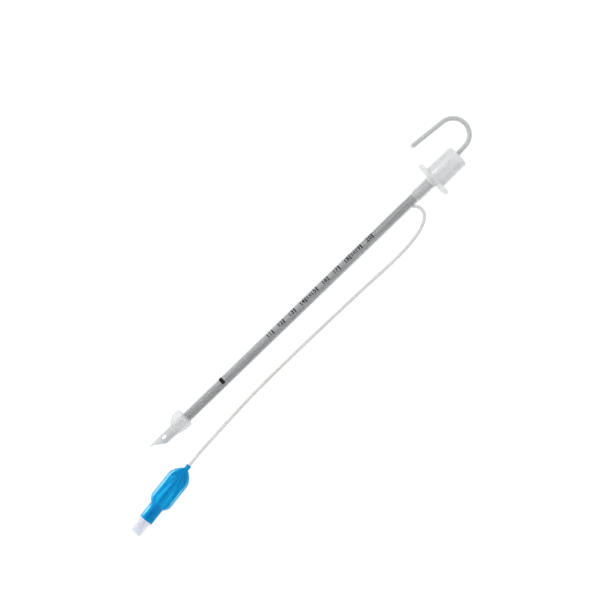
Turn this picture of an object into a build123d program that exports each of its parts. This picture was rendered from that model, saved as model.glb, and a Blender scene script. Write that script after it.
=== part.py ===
from build123d import *
import math
import os

# Size 5.0 wire-reinforced endotracheal tube with its stylet, lying on a table.
# All sizes are in millimetres. While a piece is drawn, x is the distance from the
# tube's tip along its axis, y is to the side and z is up from that axis.

# Tube
TUBE_BORE = 5.0
TUBE_OUTSIDE = 6.9
TUBE_LENGTH = 250.5
AXIS_HEIGHT = 8.0
BOND_GAP = 0.05

# Moulded soft tip with its bevel and side eye
TIP_OUTSIDE = 6.66
TIP_BORE = 4.8
TIP_LENGTH = 29.7
BEVEL_LENGTH = 10.1
BEAK_LENGTH = 3.0
BEAK_THICKNESS = 1.5
BEAK_END_THICKNESS = 0.7
EYE_FROM_TIP = 11.1
EYE_LENGTH = 4.2
EYE_WIDTH = 1.8
EYE_OFFSET = 1.0

# Steel wire coil inside the wall, wound coarser here than the real 1 mm pitch
WIRE_DIAMETER = 0.3
WIRE_PITCH = 6.0
WIRE_INSET = 0.22
WIRE_END_MARGIN = 1.2

# Air lumen in the wall, from the inflation line to the cuff
LUMEN_DIAMETER = 0.36
LUMEN_INSET = 0.57
CUFF_PORT_FROM_TIP = 25.0
CUFF_PORT_LENGTH = 1.2

# Cuff: a thin film ring, deflated into lengthwise folds
CUFF_FILM = 0.25
CUFF_START = 17.8
CUFF_LENGTH = 13.4
# How far along the cuff, and how much of its full swell it has there
CUFF_SWELL = ((0.0, 0.0), (0.12, 0.13), (0.3, 0.58), (0.6, 0.98), (0.9, 0.95), (1.0, 0.0))
# Height of each fold, anticlockwise from +y, as a share of the height that reaches the table
CUFF_FOLDS = (1.03, 0.72, 0.9, 0.62, 0.76, 0.42, 0.44, 0.36, 0.8, 1.0, 0.66, 0.86)

# Fifteen millimetre breathing connector
SPIGOT_LENGTH = 11.6
SPIGOT_BORE = 4.4
SPIGOT_OUTSIDE = 5.9
SPIGOT_LEAD = 0.8
END_STRETCH = 1.6
NECK_DIAMETER = 7.7
NECK_LENGTH = 1.1
FUNNEL_LENGTH = 1.9
FLANGE_THICKNESS = 1.9
FLANGE_SPAN = 26.1
FLANGE_CORNER = 1.2
CONE_LARGE_DIAMETER = 15.7
CONE_LENGTH = 21.4
CONE_TAPER = 1 / 40
CONE_BORE = 12.9
CONE_LIP = 0.9

# Stylet: an aluminium rod in a closed plastic sheath, bent to a hook outside
SHEATH_OUTSIDE = 3.3
SHEATH_BORE = 2.3
ROD_DIAMETER = 2.2
ROD_END_MARGIN = 2.4
STYLET_FROM_TIP = 16.0
HOOK_RADIUS = 10.75
HOOK_LEAN = 3.0
HOOK_TURN = 171.6
HOOK_LEAN_RADIUS = 60.0
HOOK_LEAN_START = 258.0
HOOK_REACH = 26.5
HOOK_TAIL = 25.0

# Inflation line, solid here, and its route from the tube wall to the pilot balloon
LINE_OUTSIDE = 2.0
LINE_SEAT = 0.42
LINE_EXIT = (231.6, -2.2, 0.0)
LINE_ROUTE = (
    (234.8, -5.3, 0.0),
    (235.7, -9.6, -0.9),
    (234.1, -13.6, -2.4),
    (228.6, -17.1, -4.8),
    (219.4, -19.5, -6.6),
    (203.0, -20.8, -7.0),
    (175.0, -19.8, -7.0),
    (126.0, -19.1, -7.0),
    (80.0, -19.0, -7.0),
    (50.0, -20.5, -7.0),
    (32.0, -21.8, -7.0),
)
LINE_END_RUN = 9.0

# Pilot balloon and its check valve, measured along their own axis from the neck
PILOT_NECK = (10.1, -23.7)
PILOT_TURN = -172.5
BALLOON_DIAMETER = 15.2
BALLOON_WALL = 0.5
NECK_SLEEVE_DIAMETER = 3.2
NECK_SLEEVE_LENGTH = 3.2
SHOULDER_LENGTH = 9.2
BODY_LENGTH = 16.4
TAPER_LENGTH = 5.2
COLLAR_DIAMETER = 9.5
COLLAR_WALL = 0.75
COLLAR_LENGTH = 11.1
VALVE_RING_DIAMETER = 9.8
VALVE_RING_THICKNESS = 1.3
LUER_DIAMETER = 7.4
LUER_LENGTH = 9.8
LUER_MOUTH_DIAMETER = 4.27
LUER_TAPER = 0.06
LUER_DEPTH = 7.4
LUER_LUG_SPAN = 9.0
LUER_LUG_LENGTH = 1.4
LUER_LUG_WIDTH = 2.4

# Valve works
SEAT_BORE = 2.4
SEAT_THICKNESS = 3.4
CHAMBER_DIAMETER = 5.2
VENT_DIAMETER = 1.6
VENT_WALL = 2.0
STEM_DIAMETER = 1.8
STEM_HEAD_DIAMETER = 2.6
STEM_TIP_DEPTH = 3.4
STEM_TRAVEL = 2.5
STEM_TAIL_GAP = 0.6
SEAL_DIAMETER = 4.4
SEAL_THICKNESS = 0.8
SEAL_GAP = 0.3
SPRING_DIAMETER = 3.6
SPRING_WIRE = 0.35
SPRING_TURNS = 4

# Places that follow from the sizes above
TUBE_RADIUS = TUBE_OUTSIDE / 2
TIP_RADIUS = TIP_OUTSIDE / 2
LINE_RADIUS = LINE_OUTSIDE / 2
WIRE_RADIUS = TUBE_BORE / 2 + WIRE_INSET
LUMEN_RADIUS = TUBE_BORE / 2 + LUMEN_INSET
SPIGOT_START = TUBE_LENGTH - SPIGOT_LENGTH
FLANGE_START = TUBE_LENGTH + NECK_LENGTH + FUNNEL_LENGTH
CONE_START = FLANGE_START + FLANGE_THICKNESS
CONE_END = CONE_START + CONE_LENGTH
CONE_SMALL_DIAMETER = CONE_LARGE_DIAMETER - CONE_LENGTH * CONE_TAPER

PILOT_HEIGHT = BALLOON_DIAMETER / 2 - AXIS_HEIGHT
SHOULDER_START = NECK_SLEEVE_LENGTH
BODY_START = SHOULDER_START + SHOULDER_LENGTH
TAPER_START = BODY_START + BODY_LENGTH
COLLAR_START = TAPER_START + TAPER_LENGTH
COLLAR_END = COLLAR_START + COLLAR_LENGTH
LUER_START = COLLAR_END + VALVE_RING_THICKNESS
LUER_END = LUER_START + LUER_LENGTH
SEAT_OUTER_FACE = LUER_END - LUER_DEPTH
SEAT_INNER_FACE = SEAT_OUTER_FACE - SEAT_THICKNESS
CHAMBER_START = COLLAR_START + VENT_WALL
SEAL_OUTER_FACE = SEAT_INNER_FACE - SEAL_GAP
SEAL_INNER_FACE = SEAL_OUTER_FACE - SEAL_THICKNESS


def turned(points):
    """A solid turned about the x axis from its half outline."""
    return revolve(make_face(Polyline(*points, close=True)), Axis.X)


def rod(radius, start, end):
    """A round bar on the x axis."""
    return Pos(start, 0, 0) * Rot(0, 90, 0) * Cylinder(
        radius, end - start, align=(Align.CENTER, Align.CENTER, Align.MIN)
    )


def bevel_tip():
    """Tube end with a long bevel, a thin beak and an eye through both walls."""
    tip = rod(TIP_RADIUS, 0, TIP_LENGTH) - rod(TIP_BORE / 2, 0, TIP_LENGTH)
    beak_line = TIP_RADIUS - BEAK_THICKNESS
    beak_end = TIP_RADIUS - BEAK_END_THICKNESS
    waste = Polyline(
        (-1, beak_end),
        (0, beak_end),
        (BEAK_LENGTH, beak_line),
        (BEVEL_LENGTH, -TIP_RADIUS),
        (BEVEL_LENGTH, -TIP_RADIUS - 1),
        (-1, -TIP_RADIUS - 1),
        close=True,
    )
    tip -= extrude(make_face(waste), TIP_OUTSIDE, both=True)
    eye = Pos(EYE_FROM_TIP, EYE_OFFSET, 0) * SlotOverall(EYE_LENGTH, EYE_WIDTH)
    tip -= extrude(eye, TIP_OUTSIDE, both=True)
    tip -= Pos(0, -LUMEN_RADIUS, 0) * rod(LUMEN_DIAMETER / 2, CUFF_PORT_FROM_TIP, TIP_LENGTH)
    port = Box(
        CUFF_PORT_LENGTH,
        TIP_RADIUS - LUMEN_RADIUS + LUMEN_DIAMETER / 2,
        LUMEN_DIAMETER,
        align=(Align.MIN, Align.MAX, Align.CENTER),
    )
    tip -= Pos(CUFF_PORT_FROM_TIP, -LUMEN_RADIUS + LUMEN_DIAMETER / 2, 0) * port
    return tip


def line_path():
    """The inflation line's route: straight runs joined by tangent arcs."""
    into_neck = [pilot_axis_point(-LINE_END_RUN), pilot_axis_point(NECK_SLEEVE_LENGTH)]
    points = [Vector(*p) for p in (LINE_EXIT, *LINE_ROUTE)] + into_neck
    radii = []
    for before, corner, after in zip(points, points[1:], points[2:]):
        run_in = corner - before
        run_out = after - corner
        half_turn = math.radians(run_in.get_angle(run_out) / 2)
        radii.append(0.45 * min(run_in.length, run_out.length) / math.tan(half_turn))
    return FilletPolyline(*points, radius=radii), radii


def pilot_axis_point(along):
    """A point of the pilot balloon's level axis, measured from its neck."""
    turn = math.radians(PILOT_TURN)
    return Vector(
        PILOT_NECK[0] + along * math.cos(turn),
        PILOT_NECK[1] + along * math.sin(turn),
        PILOT_HEIGHT,
    )


def inflation_line():
    """The line from its seat in the tube wall to the neck of the pilot balloon."""
    path, radii = line_path()
    section = Plane(origin=path @ 0, z_dir=path % 0)
    line = sweep(section * Circle(LINE_RADIUS), path)
    line -= rod(TUBE_RADIUS - LINE_SEAT, 0, TUBE_LENGTH)
    print("line length", round(path.length, 2))
    print("line radii", [round(r, 1) for r in radii])
    whole = math.pi * LINE_RADIUS**2 * path.length
    print("line volume", round(line.volume, 2), "section x length", round(whole, 2))
    return line


def line_pocket():
    """The pocket cut in the tube wall that the inflation line is bonded into."""
    start = Vector(*LINE_EXIT)
    way = Plane(origin=start, z_dir=Vector(*LINE_ROUTE[0]) - start)
    bore = way * Cylinder(
        LINE_RADIUS + BOND_GAP, TUBE_OUTSIDE, align=(Align.CENTER, Align.CENTER, Align.MIN)
    )
    return bore - rod(TUBE_RADIUS - LINE_SEAT - BOND_GAP, 0, TUBE_LENGTH)


def tube_shaft():
    """The reinforced tube, stretched over the connector's spigot at its end."""
    bore = TUBE_BORE / 2
    stretched_bore = SPIGOT_OUTSIDE / 2 + BOND_GAP
    stretched = stretched_bore + TUBE_RADIUS - bore
    shaft = turned(
        (
            (TIP_LENGTH, bore),
            (TIP_LENGTH, TUBE_RADIUS),
            (SPIGOT_START - END_STRETCH, TUBE_RADIUS),
            (SPIGOT_START, stretched),
            (TUBE_LENGTH, stretched),
            (TUBE_LENGTH, stretched_bore),
            (SPIGOT_START, stretched_bore),
            (SPIGOT_START - END_STRETCH, bore),
        )
    )
    shaft -= Pos(0, -LUMEN_RADIUS, 0) * rod(LUMEN_DIAMETER / 2, TIP_LENGTH, LINE_EXIT[0])
    return shaft - line_pocket()


def wire_spiral():
    """The steel coil that keeps the tube from kinking."""
    start = TIP_LENGTH + WIRE_END_MARGIN
    end = SPIGOT_START - END_STRETCH - WIRE_END_MARGIN
    path = Pos(start, 0, 0) * Helix(
        pitch=WIRE_PITCH, height=end - start, radius=WIRE_RADIUS, direction=(1, 0, 0)
    )
    section = Plane(origin=path @ 0, z_dir=path % 0) * RegularPolygon(WIRE_DIAMETER / 2, 4)
    return sweep(section, path, is_frenet=True)


def cuff_skin(inset):
    """The cuff's outside, or with an inset its inside, as creased flats between sections."""
    half_step = math.pi / len(CUFF_FOLDS)
    root = (TUBE_RADIUS + BOND_GAP + CUFF_FILM) / math.cos(half_step)
    sections = []
    for share, swell in CUFF_SWELL:
        points = []
        for i, fold in enumerate(CUFF_FOLDS):
            radius = root + fold * swell * (AXIS_HEIGHT - root) - inset
            points.append((radius * math.cos(2 * half_step * i), radius * math.sin(2 * half_step * i)))
        centre = (CUFF_START + share * CUFF_LENGTH, 0, 0)
        across = Plane(origin=centre, x_dir=(0, 1, 0), z_dir=(1, 0, 0))
        sections.append(across * make_face(Polyline(*points, close=True)))
    return loft(sections, ruled=True)


def cuff():
    """The film cuff, bonded round the tube at both ends and deflated between them."""
    skin = cuff_skin(0) - cuff_skin(CUFF_FILM)
    return skin - rod(TUBE_RADIUS + BOND_GAP, CUFF_START, CUFF_START + CUFF_LENGTH)


def connector():
    """Spigot, funnel, oval flange and the male cone that a breathing circuit pushes on to."""
    spigot = SPIGOT_OUTSIDE / 2
    small = CONE_SMALL_DIAMETER / 2
    large = CONE_LARGE_DIAMETER / 2
    bore = SPIGOT_BORE / 2
    body = turned(
        (
            (SPIGOT_START, bore),
            (SPIGOT_START, spigot - SPIGOT_LEAD / 2),
            (SPIGOT_START + SPIGOT_LEAD, spigot),
            (TUBE_LENGTH, spigot),
            (TUBE_LENGTH, NECK_DIAMETER / 2),
            (TUBE_LENGTH + NECK_LENGTH, NECK_DIAMETER / 2),
            (FLANGE_START, CONE_BORE / 2),
            (FLANGE_START, large),
            (CONE_START, large),
            (CONE_END, small),
            (CONE_END, CONE_BORE / 2),
            (CONE_START, CONE_BORE / 2),
            (TUBE_LENGTH, bore),
        )
    )
    across = Plane(origin=(FLANGE_START, 0, 0), x_dir=(0, 1, 0), z_dir=(1, 0, 0))
    oval = Circle(FLANGE_SPAN / 2) & Rectangle(FLANGE_SPAN, 2 * AXIS_HEIGHT)
    oval = fillet(oval.vertices(), FLANGE_CORNER) - Circle(large - FLANGE_CORNER / 2)
    body += extrude(across * oval, FLANGE_THICKNESS)
    mouth = body.edges().filter_by(GeomType.CIRCLE).group_by(Axis.X)[-1].sort_by(SortBy.RADIUS)[-1]
    return fillet(mouth, min(CONE_LIP, 0.9 * (small - CONE_BORE / 2)))


def stylet_path(start, tail):
    """The stylet's centre line: straight in the tube, then round its hook."""
    straight = Line((start, 0), (HOOK_LEAN_START, 0))
    lean = JernArc(straight @ 1, straight % 1, HOOK_LEAN_RADIUS, HOOK_LEAN)
    reach = Line(lean @ 1, lean @ 1 + (lean % 1) * (HOOK_REACH - HOOK_LEAN_RADIUS * math.radians(HOOK_LEAN)))
    hook = JernArc(reach @ 1, reach % 1, HOOK_RADIUS, HOOK_TURN)
    back = Line(hook @ 1, hook @ 1 + (hook % 1) * tail)
    return Wire([straight, lean, reach, hook, back])


def bent_bar(radius, start, tail):
    """A bar with round ends along the stylet's centre line."""
    path = stylet_path(start, tail)
    bar = sweep(Plane(origin=path @ 0, z_dir=path % 0) * Circle(radius), path)
    return bar + Pos(*(path @ 0)) * Sphere(radius) + Pos(*(path @ 1)) * Sphere(radius)


def stylet_sheath():
    """The closed plastic sheath over the rod."""
    radius = SHEATH_OUTSIDE / 2
    start = STYLET_FROM_TIP + radius
    outer = bent_bar(radius, start, HOOK_TAIL)
    hollow = bent_bar(SHEATH_BORE / 2, start + ROD_END_MARGIN - BOND_GAP, HOOK_TAIL - radius / 2)
    return outer - hollow


def stylet_rod():
    """The soft aluminium rod that holds the shape it is bent to."""
    radius = ROD_DIAMETER / 2
    start = STYLET_FROM_TIP + SHEATH_OUTSIDE / 2 + ROD_END_MARGIN
    return bent_bar(radius, start, HOOK_TAIL - SHEATH_OUTSIDE / 4)


def pilot_balloon():
    """The blown balloon with its neck sleeve and the collar round the valve."""
    neck = NECK_SLEEVE_DIAMETER / 2
    body = BALLOON_DIAMETER / 2
    collar = COLLAR_DIAMETER / 2
    rise = body - neck
    drop = body - collar
    outer = turned(
        (
            (0, 0),
            (0, neck),
            (SHOULDER_START, neck),
            (SHOULDER_START + 0.3 * SHOULDER_LENGTH, neck + 0.52 * rise),
            (SHOULDER_START + 0.62 * SHOULDER_LENGTH, neck + 0.82 * rise),
            (BODY_START, body),
            (TAPER_START, body),
            (TAPER_START + 0.56 * TAPER_LENGTH, body - 0.32 * drop),
            (COLLAR_START, collar),
            (COLLAR_END, collar),
            (COLLAR_END, 0),
        )
    )
    line_socket = LINE_RADIUS + BOND_GAP
    valve_socket = collar - COLLAR_WALL
    hollow = turned(
        (
            (0, 0),
            (0, line_socket),
            (SHOULDER_START, line_socket),
            (BODY_START, body - BALLOON_WALL),
            (TAPER_START, body - BALLOON_WALL),
            (COLLAR_START, valve_socket),
            (COLLAR_END, valve_socket),
            (COLLAR_END, 0),
        )
    )
    return outer - hollow


def valve_housing():
    """Clear check valve body with its seat and the luer port for a syringe."""
    grip = COLLAR_DIAMETER / 2 - COLLAR_WALL - BOND_GAP
    ring = VALVE_RING_DIAMETER / 2
    luer = LUER_DIAMETER / 2
    mouth = LUER_MOUTH_DIAMETER / 2
    throat = mouth - LUER_TAPER / 2 * LUER_DEPTH
    body = turned(
        (
            (COLLAR_START, VENT_DIAMETER / 2),
            (COLLAR_START, grip),
            (COLLAR_END, grip),
            (COLLAR_END, ring),
            (LUER_START, ring),
            (LUER_START, luer),
            (LUER_END, luer),
            (LUER_END, mouth),
            (SEAT_OUTER_FACE, throat),
            (SEAT_OUTER_FACE, SEAT_BORE / 2),
            (SEAT_INNER_FACE, SEAT_BORE / 2),
            (SEAT_INNER_FACE, CHAMBER_DIAMETER / 2),
            (CHAMBER_START, CHAMBER_DIAMETER / 2),
            (CHAMBER_START, VENT_DIAMETER / 2),
        )
    )
    lug = Box(LUER_LUG_LENGTH, LUER_LUG_SPAN, LUER_LUG_WIDTH, align=(Align.MAX, Align.CENTER, Align.CENTER))
    lugs = Pos(LUER_END, 0, 0) * lug - rod((luer + mouth) / 2, LUER_START, LUER_END)
    return body + lugs


def valve_stem():
    """The plunger that a syringe tip pushes to open the valve."""
    stem = STEM_DIAMETER / 2
    head = STEM_HEAD_DIAMETER / 2
    tail = CHAMBER_START + STEM_TRAVEL + STEM_TAIL_GAP
    neck = SEAT_OUTER_FACE + STEM_TRAVEL + SEAL_GAP
    return turned(
        (
            (tail, 0),
            (tail, stem),
            (neck, stem),
            (neck, head),
            (LUER_END - STEM_TIP_DEPTH, head),
            (LUER_END - STEM_TIP_DEPTH, 0),
        )
    )


def valve_seal():
    """The rubber disc on the stem that closes the seat."""
    disc = rod(SEAL_DIAMETER / 2, SEAL_INNER_FACE, SEAL_OUTER_FACE)
    return disc - rod(STEM_DIAMETER / 2 + BOND_GAP, SEAL_INNER_FACE, SEAL_OUTER_FACE)


def valve_spring():
    """The coil that presses the disc to its seat."""
    start = CHAMBER_START + SPRING_WIRE / 2 + BOND_GAP
    length = SEAL_INNER_FACE - SPRING_WIRE / 2 - BOND_GAP - start
    path = Pos(start, 0, 0) * Helix(
        pitch=length / SPRING_TURNS,
        height=length,
        radius=(SPRING_DIAMETER - SPRING_WIRE) / 2,
        direction=(1, 0, 0),
    )
    section = Plane(origin=path @ 0, z_dir=path % 0) * RegularPolygon(SPRING_WIRE / 2, 4)
    return sweep(section, path, is_frenet=True)


# The origin is the middle of the box round the tube and its stylet, on the table.
outline = stylet_path(STYLET_FROM_TIP, HOOK_TAIL).bounding_box()
far_x = outline.max.X + SHEATH_OUTSIDE / 2
far_y = outline.max.Y + SHEATH_OUTSIDE / 2
near_y = -FLANGE_SPAN / 2
on_table = Pos(-far_x / 2, -(near_y + far_y) / 2, AXIS_HEIGHT)
print("origin from tip", round(far_x / 2, 4), "to the side", round((near_y + far_y) / 2, 4))

pilot_place = Pos(PILOT_NECK[0], PILOT_NECK[1], PILOT_HEIGHT) * Rot(0, 0, PILOT_TURN)

tube_pieces = {
    "tube_shaft": tube_shaft(),
    "wire_spiral": wire_spiral(),
    "bevel_tip": bevel_tip(),
    "cuff": cuff(),
    "connector": connector(),
    "stylet_sheath": stylet_sheath(),
    "stylet_rod": stylet_rod(),
    "inflation_line": inflation_line(),
}
pilot_pieces = {
    "pilot_balloon": pilot_balloon(),
    "valve_housing": valve_housing(),
    "valve_stem": valve_stem(),
    "valve_seal": valve_seal(),
    "valve_spring": valve_spring(),
}

os.makedirs("parts", exist_ok=True)
for name, piece in tube_pieces.items():
    export_step(on_table * piece, f"parts/{name}.step")
for name, piece in pilot_pieces.items():
    export_step(on_table * pilot_place * piece, f"parts/{name}.step")
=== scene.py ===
# %% [markdown]
# # Reinforced endotracheal tube with its stylet
#
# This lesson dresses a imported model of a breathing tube: a grey reinforced tube with a clear
# bevelled tip, a film cuff, a milky connector, a bent stylet and a blue pilot balloon on a thin
# line. The frame gives the place of every part, so it is loaded first and nothing in it moves.

# %% Load the frame
import math

import bmesh
import bpy
from mathutils import Matrix, Vector, noise


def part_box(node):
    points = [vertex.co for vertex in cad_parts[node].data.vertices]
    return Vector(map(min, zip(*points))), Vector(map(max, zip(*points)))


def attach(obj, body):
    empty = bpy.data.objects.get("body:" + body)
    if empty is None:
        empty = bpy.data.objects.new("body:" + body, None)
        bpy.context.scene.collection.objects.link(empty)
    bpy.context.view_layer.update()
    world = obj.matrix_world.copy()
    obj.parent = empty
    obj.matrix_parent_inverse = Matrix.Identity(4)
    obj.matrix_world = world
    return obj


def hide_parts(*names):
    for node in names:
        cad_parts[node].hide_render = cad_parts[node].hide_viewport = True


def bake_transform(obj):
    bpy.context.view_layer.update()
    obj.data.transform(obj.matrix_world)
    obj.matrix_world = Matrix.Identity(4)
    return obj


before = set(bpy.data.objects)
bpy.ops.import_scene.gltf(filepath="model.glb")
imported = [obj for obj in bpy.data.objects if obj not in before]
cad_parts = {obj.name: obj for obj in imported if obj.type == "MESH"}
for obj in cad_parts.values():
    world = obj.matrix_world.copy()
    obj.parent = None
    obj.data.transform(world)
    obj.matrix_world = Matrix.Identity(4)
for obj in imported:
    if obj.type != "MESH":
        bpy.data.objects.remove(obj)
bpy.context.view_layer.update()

MM = 0.001
TIP_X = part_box("bevel_tip")[0][0]
AXIS_Y = (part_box("wire_spiral")[0][1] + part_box("wire_spiral")[1][1]) / 2
AXIS_Z = (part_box("wire_spiral")[0][2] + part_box("wire_spiral")[1][2]) / 2
print("tip at", round(TIP_X, 5), "axis at", round(AXIS_Y, 5), round(AXIS_Z, 5))


# %% [markdown]
# ## Places
#
# Every piece is drawn with x along its own axis, because that is how a turned or moulded part is
# measured. One matrix then carries pieces of the tube to their place, and a second one carries
# the pilot balloon and its valve, which lie at an angle on the table.

# %% Two drawing frames
PILOT_NECK = (10.1, -23.7)
PILOT_TURN = -172.5
BALLOON_RADIUS = 7.6

TUBE_PLACE = Matrix.Translation((TIP_X, AXIS_Y, AXIS_Z)) @ Matrix.Scale(MM, 4)
pilot_spot = (TIP_X + PILOT_NECK[0] * MM, AXIS_Y + PILOT_NECK[1] * MM, BALLOON_RADIUS * MM)
PILOT_PLACE = (
    Matrix.Translation(pilot_spot)
    @ Matrix.Rotation(math.radians(PILOT_TURN), 4, "Z")
    @ Matrix.Scale(MM, 4)
)
print("pilot balloon's neck at", [round(v, 4) for v in pilot_spot])


# %% [markdown]
# ## Camera
#
# The photograph looks straight down with the tube rising to the upper right, so the camera is
# turned about its own axis. A long lens keeps the perspective flat, as in a catalogue picture.

# %% Camera
PHOTO_CENTRE = (137.13, 3.77)
PHOTO_WIDTH = 391.6
PHOTO_TURN = 43.99
LENS = 100.0
SENSOR = 36.0

camera_data = bpy.data.cameras.new("camera")
camera_data.lens = LENS
camera_data.sensor_width = SENSOR
camera_data.clip_end = 10.0
camera = bpy.data.objects.new("camera", camera_data)
bpy.context.scene.collection.objects.link(camera)
camera_height = PHOTO_WIDTH * MM * LENS / SENSOR
camera.location = TUBE_PLACE @ Vector((*PHOTO_CENTRE, 0)) + Vector((0, 0, camera_height))
camera.rotation_euler = (0, 0, math.radians(-PHOTO_TURN))
bpy.context.scene.camera = camera
print("picture is", PHOTO_WIDTH, "mm wide, seen from", round(camera_height, 3), "m")


# %% [markdown]
# ## Small helpers
#
# Colours are picked as hex codes on screen, but shaders work in linear light, so one function
# turns the one into the other. A second adds any shader node with its settings and links.

# %% Colour and node helpers
def colour(code):
    """An sRGB hex code as linear red, green, blue and alpha."""
    channels = [int(code[i : i + 2], 16) / 255 for i in (1, 3, 5)]
    linear = [c / 12.92 if c <= 0.04045 else ((c + 0.055) / 1.055) ** 2.4 for c in channels]
    return (*linear, 1.0)


print("mid grey in linear light:", round(colour("#808080")[0], 3))


def add_node(tree, kind, settings=None, values=None, links=None):
    """Adds a node, sets its options and input values, and links its inputs."""
    made = tree.nodes.new(kind)
    for name, value in (settings or {}).items():
        setattr(made, name, value)
    for name, value in (values or {}).items():
        made.inputs[name].default_value = value
    for name, output in (links or {}).items():
        tree.links.new(output, made.inputs[name])
    return made


def finish_material(name, values):
    """A material with one Principled shader that has these values. Returns both and the tree."""
    print("finish", name, values)
    material = bpy.data.materials.new(name)
    material.use_nodes = True
    tree = material.node_tree
    tree.nodes.clear()
    shader = add_node(tree, "ShaderNodeBsdfPrincipled", values=values)
    add_node(tree, "ShaderNodeOutputMaterial", links={"Surface": shader.outputs["BSDF"]})
    return material, tree, shader


def object_noise(tree, size_mm, detail=2.0, stretch=(1, 1, 1)):
    """Noise on the object's own coordinates whose grain is this many millimetres."""
    place = add_node(tree, "ShaderNodeTexCoord")
    spread = add_node(
        tree,
        "ShaderNodeMapping",
        values={"Scale": stretch},
        links={"Vector": place.outputs["Object"]},
    )
    return add_node(
        tree,
        "ShaderNodeTexNoise",
        values={"Scale": 1 / (size_mm * MM), "Detail": detail},
        links={"Vector": spread.outputs["Vector"]},
    )


def shade_by(tree, shader, factor, dark, light, low=0.3, high=0.7):
    """Lets a factor move the base colour between two hex codes."""
    ramp = add_node(tree, "ShaderNodeValToRGB", links={"Fac": factor})
    ramp.color_ramp.elements[0].position = low
    ramp.color_ramp.elements[0].color = colour(dark)
    ramp.color_ramp.elements[1].position = high
    ramp.color_ramp.elements[1].color = colour(light)
    tree.links.new(ramp.outputs["Color"], shader.inputs["Base Color"])


def bump_by(tree, shader, height, strength, depth_mm):
    """Lets a height raise the surface by a real depth."""
    bump = add_node(
        tree,
        "ShaderNodeBump",
        values={"Strength": strength, "Distance": depth_mm * MM},
        links={"Height": height},
    )
    tree.links.new(bump.outputs["Normal"], shader.inputs["Normal"])


# %% [markdown]
# ## Finishes
#
# Each material starts from what the real one is: its body colour, its gloss and its index. A thin
# clear wall hardly bends light, so it is drawn as a veil. The shader's Alpha lets what lies behind
# show through, and that stays free of grain where many walls lie one behind the other.

# %% Clear soft vinyl of the wall, the tip and the line
STREAK_WIDTH = 1.6
STREAK_STRETCH = (0.12, 1, 1)


def clear_vinyl(name, dark, light, rough, clearness, veil=1.0):
    """Extruded or dipped vinyl: glossy, with long faint flow streaks along the tube."""
    material, tree, shader = finish_material(
        name, {"Roughness": rough, "IOR": 1.45, "Transmission Weight": clearness, "Alpha": veil}
    )
    streaks = object_noise(tree, STREAK_WIDTH, detail=3.0, stretch=STREAK_STRETCH)
    shade_by(tree, shader, streaks.outputs["Fac"], dark, light)
    bump_by(tree, shader, streaks.outputs["Fac"], 0.12, 0.02)
    return material


TUBE_VINYL = clear_vinyl("clear_vinyl_wall", "#b6b8bb", "#cacccf", 0.2, 0.0, 0.36)
TIP_VINYL = clear_vinyl("clear_vinyl_tip", "#c6c9cb", "#d8dadc", 0.2, 0.0, 0.62)
LINE_VINYL = clear_vinyl("clear_vinyl_line", "#d8d6d4", "#e8e6e5", 0.24, 0.4)


# %% [markdown]
# ### Film of the cuff
#
# The film is blown thin, and crumples when the air is let out. It could be glass with a thickness,
# but that bends light too much, so it is a fainter veil than the wall. One noise moves both its
# bump and its brightness, so a painted highlight lies along the crests of the creases.

# %% Thin film of the cuff
def cuff_film():
    """Blown film a twentieth of a millimetre thick: almost clear, with a painted highlight along
    its creases.
    """
    material, tree, shader = finish_material(
        "blown_vinyl_film", {"Roughness": 0.2, "IOR": 1.4, "Alpha": 0.3}
    )
    crumple_and_highlight = object_noise(tree, 1.8, detail=3.0)
    # The same noise paints a highlight into the base colour along the crests.
    shade_by(tree, shader, crumple_and_highlight.outputs["Fac"], "#dfe1e3", "#f3f4f5")
    bump_by(tree, shader, crumple_and_highlight.outputs["Fac"], 0.3, 0.12)
    return material


CUFF_FILM = cuff_film()


# %% [markdown]
# ### Milky connector
#
# Natural polypropylene scatters light in its bulk, and so looks milky. Subsurface scatter could
# show that, but it needs many samples. A pale cloudy colour with a little light let through looks
# the same on so thin a wall, under a coat for the satin skin that the mould leaves.

# %% Milky polypropylene of the connector
def milky_polypropylene():
    """Injection moulded polypropylene: white bulk scatter under a fine satin skin."""
    material, tree, shader = finish_material(
        "natural_polypropylene",
        {
            "Roughness": 0.4,
            "IOR": 1.49,
            "Alpha": 0.82,
            "Transmission Weight": 0.25,
            "Coat Weight": 0.6,
            "Coat Roughness": 0.12,
        },
    )
    cloud = object_noise(tree, 5.0)
    shade_by(tree, shader, cloud.outputs["Fac"], "#e0e2e4", "#ebecee")
    skin = object_noise(tree, 0.25)
    bump_by(tree, shader, skin.outputs["Fac"], 0.2, 0.01)
    return material


MILKY_PP = milky_polypropylene()


# %% [markdown]
# ### Metals
#
# Drawn wire and rod carry scratches along their length. A noise stretched along the metal gives
# them, and moves the colour and the roughness a little. Real ones are too fine to show, so they
# are drawn 0.3 to 0.4 mm wide. Metals keep the default index.

# %% Metals
POLISHED_BY = 0.06
DULLED_BY = 0.08


def drawn_metal(name, dark, light, rough, grain_mm):
    """Drawn wire or rod: fine scratches that run along the metal."""
    material, tree, shader = finish_material(name, {"Metallic": 1.0})
    grain = object_noise(tree, grain_mm, detail=3.0, stretch=(0.05, 1, 1))
    shade_by(tree, shader, grain.outputs["Fac"], dark, light)
    wear = add_node(
        tree,
        "ShaderNodeMapRange",
        values={"To Min": rough - POLISHED_BY, "To Max": rough + DULLED_BY},
        links={"Value": grain.outputs["Fac"]},
    )
    tree.links.new(wear.outputs["Result"], shader.inputs["Roughness"])
    return material


COIL_STEEL = drawn_metal("drawn_stainless_wire", "#5f6164", "#7a7c7e", 0.46, 0.3)
ROD_ALUMINIUM = drawn_metal("drawn_soft_aluminium", "#a9abae", "#c0c2c4", 0.4, 0.4)
SPRING_STEEL = drawn_metal("spring_wire", "#44484e", "#6a6e74", 0.3, 0.3)


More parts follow.
